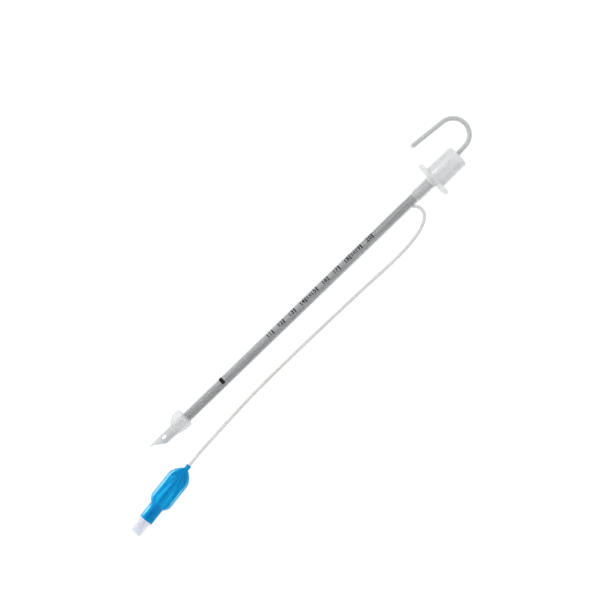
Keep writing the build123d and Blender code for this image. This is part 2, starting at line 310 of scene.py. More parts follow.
# %% [markdown]
# ### Small mouldings, rubber and ink
#
# The stylet's sheath and the valve body are clear, so they are veils like the wall. The plunger,
# the seal and the ink are opaque: colour, gloss and a fine matt grain are all they need. Their
# grain is drawn at 0.3 to 0.5 mm, because the real one wouldn't show.

# %% Sheath, valve and ink
def moulded_clear(name, dark, light, rough, grain_mm, veil):
    """Clear moulded or extruded plastic with a soft unevenness in its skin."""
    material, tree, shader = finish_material(
        name, {"Roughness": rough, "IOR": 1.47, "Alpha": veil}
    )
    skin = object_noise(tree, grain_mm)
    shade_by(tree, shader, skin.outputs["Fac"], dark, light)
    bump_by(tree, shader, skin.outputs["Fac"], 0.15, 0.02)
    return material


SHEATH_PLASTIC = moulded_clear("clear_stylet_sheath", "#c6c8ca", "#d8dadc", 0.14, 1.2, 0.5)
VALVE_PLASTIC = moulded_clear("clear_valve_body", "#d2d8e6", "#e6eaf3", 0.16, 2.0, 0.5)


def solid_plastic(name, dark, light, rough, grain_mm, shine=0.5):
    """Opaque moulded plastic, rubber or ink with a fine matt grain."""
    material, tree, shader = finish_material(
        name, {"Roughness": rough, "Specular IOR Level": shine}
    )
    grain = object_noise(tree, grain_mm)
    shade_by(tree, shader, grain.outputs["Fac"], dark, light)
    bump_by(tree, shader, grain.outputs["Fac"], 0.2, 0.02)
    return material


PLUNGER_WHITE = solid_plastic("white_plunger", "#e4e6e8", "#f4f5f6", 0.4, 0.5)
SEAL_RUBBER = solid_plastic("black_seal_rubber", "#26282b", "#3a3d41", 0.6, 0.3)
PRINT_INK = solid_plastic("black_print_ink", "#08080a", "#161619", 0.6, 0.3, 0.15)


# %% [markdown]
# ### Blue vinyl
#
# The balloon is tinted through, so it looks deep where its film lies double. Its creases also get
# painted shade, and painted highlights make it bright near its edges. One colour can't show that,
# and an image would have to be painted. Its mesh carries a number at every point instead, for the
# tint with its painted shade and highlights, and a ramp turns that into the blues.

# %% Blue vinyl of the pilot balloon
FLOW_SHARE = 0.3
BLUES = ((0.46, "#008bcb"), (0.74, "#0fb0ea"))


def add_stops(ramp, stops):
    """Adds colours between the ends of a ramp: (position, hex code)."""
    for position, code in stops:
        stop = ramp.elements.new(position)
        stop.color = colour(code)


def blue_vinyl():
    """Tinted blown vinyl: deep blue where film lies double and in painted crease shade, pale cyan
    painted highlights.
    """
    material, tree, shader = finish_material(
        "blue_blown_vinyl",
        {
            "Roughness": 0.24,
            "IOR": 1.42,
            "Transmission Weight": 0.12,
            "Specular IOR Level": 0.06,
        },
    )
    flow = object_noise(tree, 2.2, detail=3.0)
    # The mesh's number holds the tint with the painted crease shade and painted highlights.
    film = add_node(tree, "ShaderNodeAttribute", settings={"attribute_name": "tint_and_painted_light"})
    mixed = add_node(
        tree,
        "ShaderNodeMath",
        settings={"operation": "MULTIPLY_ADD"},
        values={1: FLOW_SHARE},
        links={0: flow.outputs["Fac"], 2: film.outputs["Fac"]},
    )
    # The ramp runs from deep blue painted shade to pale cyan painted highlight.
    shade_by(tree, shader, mixed.outputs["Value"], "#0060a2", "#8fe6ff", 0.0, 1.0)
    add_stops(shader.inputs["Base Color"].links[0].from_node.color_ramp, BLUES)
    bump_by(tree, shader, flow.outputs["Fac"], 0.2, 0.06)
    return material


BLUE_VINYL = blue_vinyl()


# %% [markdown]
# ## Making pieces
#
# Almost every part here is turned or wound round an axis, so a few short helpers are enough. One
# spins a half outline about the x axis. Others turn a finished bmesh into an object at the origin
# and ride it on its body, and the last one cuts a piece with another shape or joins the two.

# %% Piece helpers
WELD = 0.0001


def spun(outline, steps=64, closed=True):
    """A half outline of (along, radius) points, spun once round the x axis."""
    bm = bmesh.new()
    verts = [bm.verts.new((along, radius, 0)) for along, radius in outline]
    ends = verts[1:] + verts[:1] if closed else verts[1:]
    edges = [bm.edges.new(pair) for pair in zip(verts, ends)]
    bmesh.ops.spin(
        bm,
        geom=verts + edges,
        cent=(0, 0, 0),
        axis=(1, 0, 0),
        angle=2 * math.pi,
        steps=steps,
        use_merge=True,
    )
    bmesh.ops.remove_doubles(bm, verts=bm.verts, dist=WELD)
    bmesh.ops.dissolve_degenerate(bm, edges=bm.edges, dist=WELD)
    bmesh.ops.recalc_face_normals(bm, faces=bm.faces)
    return bm


def mesh_object(name, bm, place=Matrix()):
    """Moves a bmesh to its place and makes it an object at the origin."""
    bmesh.ops.transform(bm, matrix=place, verts=bm.verts)
    mesh = bpy.data.meshes.new(name)
    bm.to_mesh(mesh)
    bm.free()
    made = bpy.data.objects.new(name, mesh)
    bpy.context.scene.collection.objects.link(made)
    return made


def smoothed(piece, sharp):
    """Shades a piece smooth, but for the edges that turn by more than this many degrees."""
    piece.data.polygons.foreach_set("use_smooth", [True] * len(piece.data.polygons))
    piece.data.set_sharp_from_angle(angle=math.radians(sharp))
    print(piece.name, "faces", len(piece.data.polygons))


def make_piece(name, bm, place, material, body, replaces=(), sharp=35.0):
    """Makes a bmesh a smooth piece of this finish and rides it on a body, if one is given."""
    piece = mesh_object(name, bm, place)
    piece.data.materials.append(material)
    smoothed(piece, sharp)
    if body:
        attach(piece, body)
    if replaces:
        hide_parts(*replaces)
    return piece


def applied(piece):
    """Bakes a piece's modifiers into its mesh."""
    depsgraph = bpy.context.evaluated_depsgraph_get()
    piece.data = bpy.data.meshes.new_from_object(piece.evaluated_get(depsgraph))
    piece.modifiers.clear()


def combine(piece, tool, operation):
    """Cuts a piece with another object, or joins it to one, and removes that object."""
    boolean = piece.modifiers.new(tool.name, "BOOLEAN")
    boolean.operation = operation
    boolean.solver = "EXACT"
    boolean.object = tool
    applied(piece)
    bpy.data.objects.remove(tool)


# %% [markdown]
# ## Inflation line
#
# The line is a thin soft tube that leaves the wall near the connector, loops back and lies along
# the table to the pilot balloon. It is a NURBS curve through the same route points as the
# construction, because a smooth spline is how a limp line really lies.

# %% Inflation line
LINE_DIAMETER = 0.002
LINE_ROUTE = (
    (0.2324, -0.0030, 0.0),
    (0.2348, -0.0053, 0.0),
    (0.2357, -0.0096, -0.0009),
    (0.2341, -0.0136, -0.0024),
    (0.2286, -0.0171, -0.0048),
    (0.2194, -0.0195, -0.0066),
    (0.2030, -0.0208, -0.0070),
    (0.1750, -0.0198, -0.0070),
    (0.1260, -0.0191, -0.0070),
    (0.0800, -0.0190, -0.0070),
    (0.0500, -0.0205, -0.0070),
    (0.0320, -0.0218, -0.0070),
    (0.01902, -0.02253, -0.0004),
    (0.00693, -0.02412, -0.0004),
)

line_curve = bpy.data.curves.new("inflation_line_vinyl", "CURVE")
line_curve.dimensions = "3D"
line_spline = line_curve.splines.new("NURBS")
line_spline.points.add(len(LINE_ROUTE) - 1)
for point, (x, y, z) in zip(line_spline.points, LINE_ROUTE):
    point.co = (TIP_X + x, AXIS_Y + y, AXIS_Z + z, 1.0)
line_spline.order_u = 3
line_spline.use_endpoint_u = True
line_spline.resolution_u = 12
line_curve.bevel_depth = LINE_DIAMETER / 2
line_curve.bevel_resolution = 5
line_curve.use_fill_caps = True
line_curve.materials.append(LINE_VINYL)
line = bpy.data.objects.new("inflation_line_vinyl", line_curve)
bpy.context.scene.collection.objects.link(line)
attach(line, "tube")
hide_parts("inflation_line")


# %% [markdown]
# ## Tube wall
#
# The wall is extruded vinyl. Its far end is pushed over the connector's spigot and swells there,
# so the outline widens for the last stretch. Spinning the outline gives an even wall at once.

# %% Tube wall
TUBE_BORE_RADIUS = 2.5
TUBE_RADIUS = 3.45
TIP_LENGTH = 29.7
TUBE_LENGTH = 250.5
SPIGOT_START = 238.9
END_STRETCH = 1.6
STRETCHED_BORE_RADIUS = 3.0
STRETCHED_RADIUS = 3.95
EDGE = 0.15

tube_wall = spun(
    (
        (TIP_LENGTH, TUBE_BORE_RADIUS),
        (TIP_LENGTH, TUBE_RADIUS - EDGE),
        (TIP_LENGTH + EDGE, TUBE_RADIUS),
        (SPIGOT_START - END_STRETCH, TUBE_RADIUS),
        (SPIGOT_START - END_STRETCH * 0.5, (TUBE_RADIUS + STRETCHED_RADIUS) / 2),
        (SPIGOT_START, STRETCHED_RADIUS),
        (TUBE_LENGTH - EDGE, STRETCHED_RADIUS),
        (TUBE_LENGTH, STRETCHED_RADIUS - EDGE),
        (TUBE_LENGTH, STRETCHED_BORE_RADIUS),
        (SPIGOT_START, STRETCHED_BORE_RADIUS),
        (SPIGOT_START - END_STRETCH, TUBE_BORE_RADIUS),
    )
)
make_piece(
    "tube_wall", tube_wall, TUBE_PLACE, TUBE_VINYL, "tube", ["tube_shaft"]
)


# %% [markdown]
# ## Steel coil
#
# A steel wire is wound inside the wall so that the tube can't kink, and its close turns make the
# tube look grey. Spin can move the ring a little after each step, which winds a true helix.

# %% Steel coil
COIL_RADIUS = 2.86
COIL_WIRE_RADIUS = 0.2
COIL_PITCH = 0.95
COIL_START = 30.9
COIL_END = 237.2
COIL_STEPS_PER_TURN = 16


def wound(start, radius, wire_radius, pitch, turns, steps, segments):
    """A wire wound round the x axis, open at both ends, with this many steps to a turn."""
    bm = bmesh.new()
    bmesh.ops.create_circle(bm, radius=wire_radius, segments=segments)
    bmesh.ops.translate(bm, verts=bm.verts, vec=(start, radius, 0))
    bmesh.ops.spin(
        bm,
        geom=bm.verts[:] + bm.edges[:],
        cent=(0, 0, 0),
        axis=(1, 0, 0),
        dvec=(pitch / steps, 0, 0),
        angle=2 * math.pi * turns,
        steps=steps * turns,
    )
    return bm


coil = wound(
    COIL_START, COIL_RADIUS, COIL_WIRE_RADIUS, COIL_PITCH, 1, COIL_STEPS_PER_TURN, segments=8
)
bmesh.ops.recalc_face_normals(coil, faces=coil.faces)
steel = make_piece(
    "steel_coil", coil, TUBE_PLACE, COIL_STEEL, "tube", ["wire_spiral"], 80
)

# %% [markdown]
# ### The whole coil
#
# Winding every turn by spin is slow, so one turn is repeated along the tube by an Array modifier.
# The wire is open where it starts and stops, and each opening gets one face.

# %% Repeat the turn along the tube and close the wire's ends
turns = steel.modifiers.new("turns", "ARRAY")
turns.count = int((COIL_END - COIL_START) / COIL_PITCH)
turns.use_relative_offset = False
turns.use_constant_offset = True
turns.constant_offset_displace = (COIL_PITCH * MM, 0, 0)
turns.use_merge_vertices = True
turns.merge_threshold = 0.002 * MM
applied(steel)
ends = bmesh.new()
ends.from_mesh(steel.data)
bmesh.ops.holes_fill(ends, edges=[e for e in ends.edges if e.is_boundary], sides=0)
ends.to_mesh(steel.data)
print("coil faces", len(ends.faces), "open edges", sum(e.is_boundary for e in ends.edges))
ends.free()


# %% [markdown]
# ## Bevelled tip
#
# The tip is a short moulded tube, cut on a long slant with a thin beak left at its point, and
# with an eye through both walls in case the end is blocked. Two boolean cuts make the slant and
# the eye, and a small bevel rounds the edges as moulding does.

# %% Bevelled tip
TIP_RADIUS = 3.33
TIP_BORE_RADIUS = 2.4
BEVEL_LENGTH = 10.1
BEAK_LENGTH = 3.0
BEAK_THICKNESS = 1.5
BEAK_END_THICKNESS = 0.7
EYE_CENTRE = (11.1, 1.0)
EYE_LENGTH = 4.2
EYE_WIDTH = 1.8
CUT_DEPTH = 12.0
TIP_SOFT_EDGE = 0.12


def cutter(name, outline):
    """A prism through the whole tip with this outline, for a boolean cut."""
    bm = bmesh.new()
    face = bm.faces.new([bm.verts.new((x, y, -CUT_DEPTH / 2)) for x, y in outline])
    grown = bmesh.ops.extrude_face_region(bm, geom=[face])
    top = [item for item in grown["geom"] if isinstance(item, bmesh.types.BMVert)]
    bmesh.ops.translate(bm, verts=top, vec=(0, 0, CUT_DEPTH))
    bmesh.ops.recalc_face_normals(bm, faces=bm.faces)
    return mesh_object(name, bm, TUBE_PLACE)


def rounded_slot(centre, length, width, steps=8):
    """Outline of a slot with round ends."""
    reach = (length - width) / 2
    points = []
    for side in (1, -1):
        for i in range(steps + 1):
            angle = math.pi * (i / steps - 0.5)
            x = side * (reach + width / 2 * math.cos(angle))
            points.append((centre[0] + x, centre[1] + side * width / 2 * math.sin(angle)))
    return points


slant = (
    (-1.0, TIP_RADIUS - BEAK_END_THICKNESS),
    (0.0, TIP_RADIUS - BEAK_END_THICKNESS),
    (BEAK_LENGTH * 0.55, TIP_RADIUS - BEAK_THICKNESS * 0.78),
    (BEAK_LENGTH, TIP_RADIUS - BEAK_THICKNESS),
    (BEVEL_LENGTH, -TIP_RADIUS),
    (BEVEL_LENGTH, -TIP_RADIUS - 1),
    (-1.0, -TIP_RADIUS - 1),
)
tip_tube = spun(
    (
        (0, TIP_BORE_RADIUS),
        (0, TIP_RADIUS - EDGE * 2),
        (EDGE * 2, TIP_RADIUS),
        (TIP_LENGTH, TIP_RADIUS),
        (TIP_LENGTH, TIP_BORE_RADIUS),
    ),
    steps=72,
)
tip = make_piece("soft_tip", tip_tube, TUBE_PLACE, TIP_VINYL, "tube", ["bevel_tip"])
combine(tip, cutter("slant_cut", slant), "DIFFERENCE")
eye = rounded_slot(EYE_CENTRE, EYE_LENGTH, EYE_WIDTH)
combine(tip, cutter("eye_cut", eye), "DIFFERENCE")
soften = tip.modifiers.new("soften", "BEVEL")
soften.width = TIP_SOFT_EDGE * MM
soften.segments = 2
soften.limit_method = "ANGLE"
soften.angle_limit = math.radians(40)
applied(tip)
smoothed(tip, 50)


# %% [markdown]
# ## Cuff
#
# The cuff is a ring of film that seals the windpipe when it is blown up. Deflated, its spare film
# stands in creased folds. A plain ring is spun, then every point is moved in or out by a few
# fold heights and by ridged noise, which has the sharp crests of crumpled film.

# %% Cuff
CUFF_START = 17.8
CUFF_LENGTH = 13.4
CUFF_SWELL = ((0.0, 0.0), (0.12, 0.13), (0.3, 0.58), (0.6, 0.98), (0.9, 0.95), (1.0, 0.0))
CUFF_FOLDS = (1.03, 0.72, 0.9, 0.62, 0.76, 0.42, 0.44, 0.36, 0.8, 1.0, 0.66, 0.86)
CUFF_ROOT = 3.62
AXIS_HEIGHT = 8.0
FILM = 0.06
CUFF_RINGS = 34
CUFF_SPOKES = 132
FOLD_TWIST = 0.5
FOLD_SHARE = 0.93
CRUMPLE_SHARE = 0.09
CRUMPLE_SCALE = 0.42
CRUMPLE_SHIFT = 0.25
# Fineness, lacunarity, octaves, offset and gain of the ridged noise
CRUMPLE = (0.9, 2.1, 3, 1.0, 2.0)
FULLEST = 0.985


def eased(a, b, t):
    """A value between two others that starts and ends level."""
    return a + (b - a) * t * t * (3 - 2 * t)


def swell_at(share):
    """How far the cuff stands out at this share of its length, from 0 to 1."""
    for (a, low), (b, high) in zip(CUFF_SWELL, CUFF_SWELL[1:]):
        if share <= b:
            return eased(low, high, (share - a) / (b - a))
    return 0.0


def fold_at(angle):
    """Height of the folds round the cuff, from one chosen height to the next."""
    turn = angle / (2 * math.pi) * len(CUFF_FOLDS) % len(CUFF_FOLDS)
    i = int(turn)
    t = turn - i
    return CUFF_FOLDS[i] * (1 - t) + CUFF_FOLDS[(i + 1) % len(CUFF_FOLDS)] * t


def crumpled(bm):
    """Moves every point of a plain ring to the folded, crumpled film."""
    for vert in bm.verts:
        share = (vert.co.x - CUFF_START) / CUFF_LENGTH
        angle = math.atan2(vert.co.z, vert.co.y)
        swell = swell_at(min(max(share, 0.0), 1.0))
        twist = angle + FOLD_TWIST * (share - 0.6)
        ridge = noise.ridged_multi_fractal(vert.co * CRUMPLE_SCALE, *CRUMPLE) - 1.0
        height = swell * (FOLD_SHARE * fold_at(twist) + CRUMPLE_SHARE * ridge)
        radius = CUFF_ROOT + max(0.0, min(height, FULLEST)) * (AXIS_HEIGHT - CUFF_ROOT)
        vert.co.y = radius * math.cos(angle)
        vert.co.z = radius * math.sin(angle)
        vert.co.x += CRUMPLE_SHIFT * swell * noise.noise(vert.co * 0.5)


cuff_line = [
    (CUFF_START + CUFF_LENGTH * i / CUFF_RINGS, CUFF_ROOT) for i in range(CUFF_RINGS + 1)
]
cuff_bm = spun(cuff_line, steps=CUFF_SPOKES, closed=False)
crumpled(cuff_bm)
cuff = make_piece("cuff_film", cuff_bm, TUBE_PLACE, CUFF_FILM, "tube", ["cuff"], 60)
film = cuff.modifiers.new("film", "SOLIDIFY")
film.thickness = FILM * MM
film.offset = -1.0
applied(cuff)


# %% [markdown]
# ## Connector
#
# The connector is one polypropylene moulding: a spigot in the tube, a funnel, an oval flange to
# tie it by, and the standard cone that breathing hoses push on to. The round part is spun and
# the flange is a flat plate with two straight sides, joined to it as one solid.

# %% Connector
SPIGOT_RADIUS = 2.95
SPIGOT_BORE_RADIUS = 2.2
NECK_RADIUS = 3.85
NECK_END = 251.6
FLANGE_START = 253.5
FLANGE_THICKNESS = 1.9
FLANGE_SPAN_RADIUS = 13.05
CONE_START = FLANGE_START + FLANGE_THICKNESS
CONE_END = 276.8
CONE_LARGE_RADIUS = 7.85
CONE_SMALL_RADIUS = 7.5825
CONE_BORE_RADIUS = 6.45
LIP = 1.0
FILLET = 0.3
FLANGE_SOFT_EDGE = 0.35
# A moulding has no knife edges, so the outline takes each corner in two small steps


def quarter_round(along, radius, size, steps=5):
    """Points of a quarter circle that rounds an outer corner at this place."""
    points = []
    for i in range(steps + 1):
        angle = math.pi / 2 * (1 - i / steps)
        points.append(
            (along - size + size * math.cos(angle), radius - size + size * math.sin(angle))
        )
    return points


connector_bm = spun(
    [
        (SPIGOT_START, SPIGOT_BORE_RADIUS),
        (SPIGOT_START, SPIGOT_RADIUS - 0.4),
        (SPIGOT_START + 0.8, SPIGOT_RADIUS),
        (TUBE_LENGTH + 0.02, SPIGOT_RADIUS),
        (TUBE_LENGTH + 0.02, NECK_RADIUS - EDGE),
        (TUBE_LENGTH + EDGE, NECK_RADIUS),
        (NECK_END - 0.2, NECK_RADIUS),
        (NECK_END + FILLET, NECK_RADIUS + FILLET),
        (FLANGE_START - FILLET, CONE_BORE_RADIUS - 0.5),
        (FLANGE_START + 0.2, CONE_LARGE_RADIUS - 0.7),
        (CONE_START - 0.2, CONE_LARGE_RADIUS - 0.1),
        (CONE_START + 0.4, CONE_LARGE_RADIUS - 0.01),
    ]
    + quarter_round(CONE_END, CONE_SMALL_RADIUS, LIP)
    + [
        (CONE_END, CONE_BORE_RADIUS + 0.1),
        (CONE_END - 0.2, CONE_BORE_RADIUS),
        (CONE_START, CONE_BORE_RADIUS),
        (FLANGE_START + 0.4, CONE_BORE_RADIUS - 0.9),
        (TUBE_LENGTH, SPIGOT_BORE_RADIUS),
    ],
    steps=96,
)
connector = make_piece(
    "connector_moulding",
    connector_bm,
    TUBE_PLACE,
    MILKY_PP,
    "tube",
    ["connector"],
    30,
)

# %% [markdown]
# ### Flange
#
# A circle is cut straight on two sides and given its thickness and soft edges. Its middle is cut
# out so that the bore stays open, and what is left is joined to the connector.

# %% Flange
RIM_ANGLE = 0.8

plate = bmesh.new()
bmesh.ops.create_circle(plate, cap_ends=True, radius=FLANGE_SPAN_RADIUS, segments=120)
upright = Matrix.Rotation(math.pi / 2, 3, "Y")
bmesh.ops.rotate(plate, verts=plate.verts, cent=(0, 0, 0), matrix=upright)
for side in (1, -1):
    bmesh.ops.bisect_plane(
        plate,
        geom=plate.verts[:] + plate.edges[:] + plate.faces[:],
        plane_co=(0, 0, side * AXIS_HEIGHT),
        plane_no=(0, 0, side),
        clear_outer=True,
    )
grown = bmesh.ops.extrude_face_region(plate, geom=plate.faces[:])
moved = [item for item in grown["geom"] if isinstance(item, bmesh.types.BMVert)]
bmesh.ops.translate(plate, verts=moved, vec=(FLANGE_THICKNESS, 0, 0))
bmesh.ops.recalc_face_normals(plate, faces=plate.faces)
rim = [e for e in plate.edges if e.calc_face_angle(0) > RIM_ANGLE]
bmesh.ops.bevel(
    plate,
    geom=rim,
    offset=FLANGE_SOFT_EDGE,
    segments=3,
    profile=0.5,
    affect="EDGES",
    material=-1,
)
bmesh.ops.translate(plate, verts=plate.verts, vec=(FLANGE_START, 0, 0))
flange = mesh_object("flange", plate, TUBE_PLACE)

core = spun(
    (
        (FLANGE_START - 1, 0),
        (FLANGE_START - 1, CONE_BORE_RADIUS - 0.2),
        (CONE_START + 1, CONE_BORE_RADIUS - 0.2),
        (CONE_START + 1, 0),
    ),
    steps=96,
)
combine(flange, mesh_object("flange_hole", core, TUBE_PLACE), "DIFFERENCE")
combine(connector, flange, "UNION")
smoothed(connector, 30)


# %% [markdown]
# ## Stylet
#
# The stylet stiffens the tube while it is put in: a soft aluminium rod in a closed plastic
# sheath, bent to a hook so that it can't slip in too far. Its centre line is straight, leans a
# little, turns round the hook and runs back, so it is worked out from those few sizes.

# %% Stylet centre line
STYLET_START = 16.0
LEAN_START = 258.0
LEAN_RADIUS = 60.0
LEAN_ANGLE = 3.0
HOOK_REACH = 26.5
HOOK_RADIUS = 10.75
HOOK_TURN = 171.6
HOOK_TAIL = 25.0
SHEATH_RADIUS = 1.65
SHEATH_BORE_RADIUS = 1.15
ROD_RADIUS = 1.08
ROD_MARGIN = 2.4
# A round end closes in a ring this small, whose points are then merged into one
POINT_RADIUS = 1e-5


def arc_points(start, heading, radius, turn, steps):
    """Points along an arc that turns left, with the heading at each, after its start."""
    points = []
    for i in range(1, steps + 1):
        angle = math.radians(heading + turn * i / steps)
        begin = math.radians(heading)
        x = start[0] + radius * (math.sin(angle) - math.sin(begin))
        y = start[1] - radius * (math.cos(angle) - math.cos(begin))
        points.append((x, y, math.degrees(angle)))
    return points


def stylet_line(start, tail):
    """Points (x, y, heading) along the stylet from its tip to the end of its hook."""
    line = [(start, 0.0, 0.0), (LEAN_START, 0.0, 0.0)]
    line += arc_points((LEAN_START, 0.0), 0.0, LEAN_RADIUS, LEAN_ANGLE, 4)
    x, y, heading = line[-1]
    reach = HOOK_REACH - LEAN_RADIUS * math.radians(LEAN_ANGLE)
    lean = math.radians(heading)
    line.append((x + reach * math.cos(lean), y + reach * math.sin(lean), heading))
    line += arc_points(line[-1][:2], heading, HOOK_RADIUS, HOOK_TURN, 48)
    x, y, heading = line[-1]
    back = math.radians(heading)
    line.append((x + tail * math.cos(back), y + tail * math.sin(back), heading))
    return line


def round_ended(line, radius, steps=6):
    """Adds the shrinking rings of a round end before and after a line: (x, y, heading, radius)."""
    shares = [math.pi / 2 * i / steps for i in range(steps)]
    first, last = line[0], line[-1]
    front = [
        (first[0] - radius * math.cos(a), first[1], first[2], radius * math.sin(a)) for a in shares
    ]
    turn = math.radians(last[2])
    rear = [
        (
            last[0] + radius * math.cos(a) * math.cos(turn),
            last[1] + radius * math.cos(a) * math.sin(turn),
            last[2],
            radius * math.sin(a),
        )
        for a in reversed(shares)
    ]
    return front + [(*p, radius) for p in line] + rear


def swept_bar(rings, segments=28):
    """A closed bar through rings of (x, y, heading, radius) that lie level."""
    bm = bmesh.new()
    before = None
    for x, y, heading, radius in rings:
        matrix = (
            Matrix.Translation((x, y, 0))
            @ Matrix.Rotation(math.radians(heading), 4, "Z")
            @ Matrix.Rotation(math.pi / 2, 4, "Y")
        )
        made = bmesh.ops.create_circle(
            bm, radius=max(radius, POINT_RADIUS), segments=segments, matrix=matrix
        )
        edges = list({e for v in made["verts"] for e in v.link_edges})
        if before:
            bmesh.ops.bridge_loops(bm, edges=before + edges)
        before = edges
    bmesh.ops.remove_doubles(bm, verts=bm.verts, dist=0.001)
    bmesh.ops.recalc_face_normals(bm, faces=bm.faces)
    return bm


print("hook ends at", [round(v, 1) for v in stylet_line(STYLET_START, HOOK_TAIL)[-1]])

# %% [markdown]
# ### Sheath and rod
#
# Both follow the same line. The sheath is a shell closed at both ends, so a second bar, turned
# inside out, makes its hollow, and the rod lies in that hollow with a gap all round.

# %% Sheath and rod
sheath_start = STYLET_START + SHEATH_RADIUS
rod_line = stylet_line(sheath_start + ROD_MARGIN, HOOK_TAIL - SHEATH_RADIUS / 2)
rod = swept_bar(round_ended(rod_line, ROD_RADIUS))
sheath = swept_bar(round_ended(stylet_line(sheath_start, HOOK_TAIL), SHEATH_RADIUS))
hollow = swept_bar(round_ended(rod_line, SHEATH_BORE_RADIUS))
bmesh.ops.reverse_faces(hollow, faces=hollow.faces)
hollow_mesh = bpy.data.meshes.new("hollow")
hollow.to_mesh(hollow_mesh)
hollow.free()
sheath.from_mesh(hollow_mesh)
for name, bm, material, slot, node in (
    ("stylet_cover", sheath, SHEATH_PLASTIC, "stylet_sheath", "stylet_sheath"),
    ("stylet_core", rod, ROD_ALUMINIUM, "stylet_aluminium", "stylet_rod"),
):
    make_piece(name, bm, TUBE_PLACE, material, "stylet", [node], 60)


# %% [markdown]
# ## Pilot balloon
#
# The pilot balloon shows whether the cuff holds air. It is blown from tinted vinyl, so it has a
# long shoulder at the neck, nearly straight sides, and a collar glued round the valve. Its wall
# is spun, then pressed in along creases that fan out from the neck.

# %% Pilot balloon
NECK_SLEEVE_RADIUS = 1.6
SHOULDER_START = 3.2
BODY_START = 12.4
TAPER_START = 28.8
COLLAR_START = 34.0
COLLAR_END = 45.1
COLLAR_RADIUS = 4.75
COLLAR_BORE_RADIUS = 4.0
BALLOON_WALL = 0.45
LINE_SOCKET_RADIUS = 1.05
SHOULDER_FULLNESS = 0.86
TAPER_FULLNESS = 1.9


def balloon_radius(along):
    """Outside radius of the balloon at this distance from its neck."""
    if along < SHOULDER_START:
        return NECK_SLEEVE_RADIUS
    if along < BODY_START:
        t = (along - SHOULDER_START) / (BODY_START - SHOULDER_START)
        rise = math.sin(t * math.pi / 2) ** SHOULDER_FULLNESS
        return NECK_SLEEVE_RADIUS + (BALLOON_RADIUS - NECK_SLEEVE_RADIUS) * rise
    if along < TAPER_START:
        return BALLOON_RADIUS
    if along < COLLAR_START:
        t = (along - TAPER_START) / (COLLAR_START - TAPER_START)
        return COLLAR_RADIUS + (BALLOON_RADIUS - COLLAR_RADIUS) * (1 - t**TAPER_FULLNESS)
    return COLLAR_RADIUS


along_steps = [0.0]
for start, end, count in (
    (0.0, SHOULDER_START, 3),
    (SHOULDER_START, BODY_START, 18),
    (BODY_START, TAPER_START, 14),
    (TAPER_START, COLLAR_START, 12),
    (COLLAR_START, COLLAR_END, 8),
):
    along_steps += [start + (end - start) * i / count for i in range(1, count + 1)]
outside = [(a, balloon_radius(a)) for a in along_steps]
inside = [
    (a, COLLAR_BORE_RADIUS if a >= COLLAR_START else max(r - BALLOON_WALL, LINE_SOCKET_RADIUS))
    for a, r in outside
]
balloon_bm = spun(outside + inside[::-1], steps=120)
print("balloon wall from", len(outside + inside), "outline points")

# %% [markdown]
# ### Creases, painted shade and painted highlights
#
# A half-filled balloon is pulled in along creases that fan out from its neck. Sculpting would
# show them too, but a list of angles and depths is easier to check against the real one. The same
# list paints shade into the film where it is pressed, which also stands for film lying double, and
# a second list paints highlights along its edges, with one strip of painted shade on the collar.

# %% Creases, painted shade and painted highlights
# Each crease: angle at its start and end, depth, where it starts and ends, width in degrees
CREASES = (
    (90, 90, 0.8, 5.0, 34.0, 7.0),
    (84, 48, 0.6, 3.6, 24.0, 6.0),
    (97, 128, 0.6, 3.6, 27.0, 6.0),
    (78, 22, 0.45, 3.4, 17.0, 6.0),
    (104, 160, 0.45, 3.4, 17.0, 6.0),
    (250, 250, 0.5, 6.0, 30.0, 8.0),
)
# Each painted highlight, which is painted shade where its strength is negative: angle, strength,
# where it starts and ends, width in degrees
PAINTED_LIGHT_STREAKS = (
    (149, 0.75, 4.0, 34.0, 10.0),
    (31, 0.5, 6.0, 34.0, 9.0),
    (112, 0.3, 10.0, 33.0, 9.0),
    (64, 0.25, 12.0, 33.0, 9.0),
    (142, 0.6, 33.0, 46.0, 18.0),
    (88, -0.36, 32.5, 46.0, 26.0),
)
BASE_TINT = 0.34
# Painted shade in each crease, which also stands for film lying double
CREASE_SHADE_AND_TINT = 0.24
CREASE_PRESS = 0.75
END_FADE = 0.6


def bump_shape(along, angle, centre, start, end, width):
    """How strongly a crease or streak acts here, from 0 to 1."""
    middle = (along - start) / (end - start)
    if not 0 < middle < 1:
        return 0.0
    off = abs((angle - centre + 180) % 360 - 180) / width
    return math.sin(math.pi * middle) ** END_FADE * math.exp(-off * off)


tone_and_light_layer = balloon_bm.verts.layers.float.new("tint_and_painted_light")
for vert in balloon_bm.verts:
    radius = math.hypot(vert.co.y, vert.co.z)
    angle = math.degrees(math.atan2(vert.co.z, vert.co.y))
    press, film_tone_and_light = 0.0, BASE_TINT
    # Creases press the film in and darken it with painted shade, which also stands for film lying
    # double.
    for first, last, depth, start, end, width in CREASES:
        centre = first + (last - first) * min(max((vert.co.x - start) / (end - start), 0.0), 1.0)
        fold = bump_shape(vert.co.x, angle, centre, start, end, width)
        press += CREASE_PRESS * depth * fold
        film_tone_and_light -= CREASE_SHADE_AND_TINT * fold
    # The streaks paint highlights, and paint shade where a strength is negative.
    for centre, strength, start, end, width in PAINTED_LIGHT_STREAKS:
        film_tone_and_light += strength * bump_shape(vert.co.x, angle, centre, start, end, width)
    vert[tone_and_light_layer] = film_tone_and_light
    if radius > 0 and vert.co.x < COLLAR_START:
        scale = (radius - press) / radius
        vert.co.y *= scale
        vert.co.z *= scale
balloon = make_piece(
    "balloon_vinyl",
    balloon_bm,
    PILOT_PLACE,
    BLUE_VINYL,
    "tube",
    ["pilot_balloon"],
    40,
)


# %% [markdown]
# ## Valve
#
# A check valve keeps the air in. Its clear body grips inside the collar and ends in a luer port.
# A syringe tip pushes the white plunger, which lifts a rubber disc off its seat against a spring.

